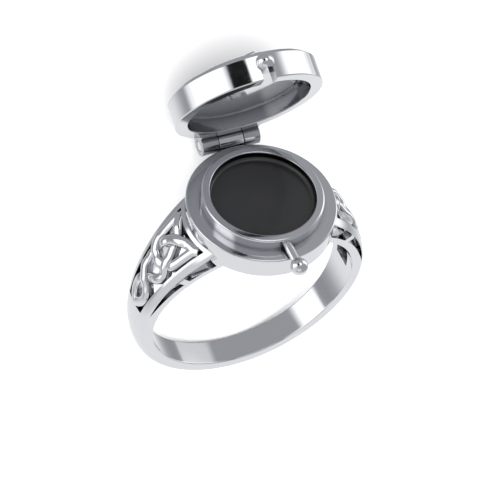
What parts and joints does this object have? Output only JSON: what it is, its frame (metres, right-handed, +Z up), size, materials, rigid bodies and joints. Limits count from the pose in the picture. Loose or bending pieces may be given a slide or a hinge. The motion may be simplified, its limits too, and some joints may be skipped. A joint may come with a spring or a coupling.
{
  "type": "locket ring",
  "caption": "Finger ring with a pierced interlaced band and a round cup whose hinged lid stands open.",
  "frame": {"origin": "centre of the finger hole", "axes": "+Z up as the ring lies on its side, +X along the hinge axis, +Y from the band's foot towards the cup and lid"},
  "size_m": [0.02, 0.033, 0.0149],
  "materials": {
    "silver": "polished silver",
    "black_inlay": "smooth gloss"
  },
  "bodies": {
    "ring": {"ring_body": "silver", "inlay": "black_inlay", "hinge_pin": "silver"},
    "lid": {"lid": "silver"}
  },
  "joints": [
    {"name": "lid_hinge", "type": "hinge", "parent": "ring", "child": "lid", "pos_m": [0, 0.01222, -0.00308], "axis": [-1, 0, 0], "range_deg": [-67, 20]}
  ]
}
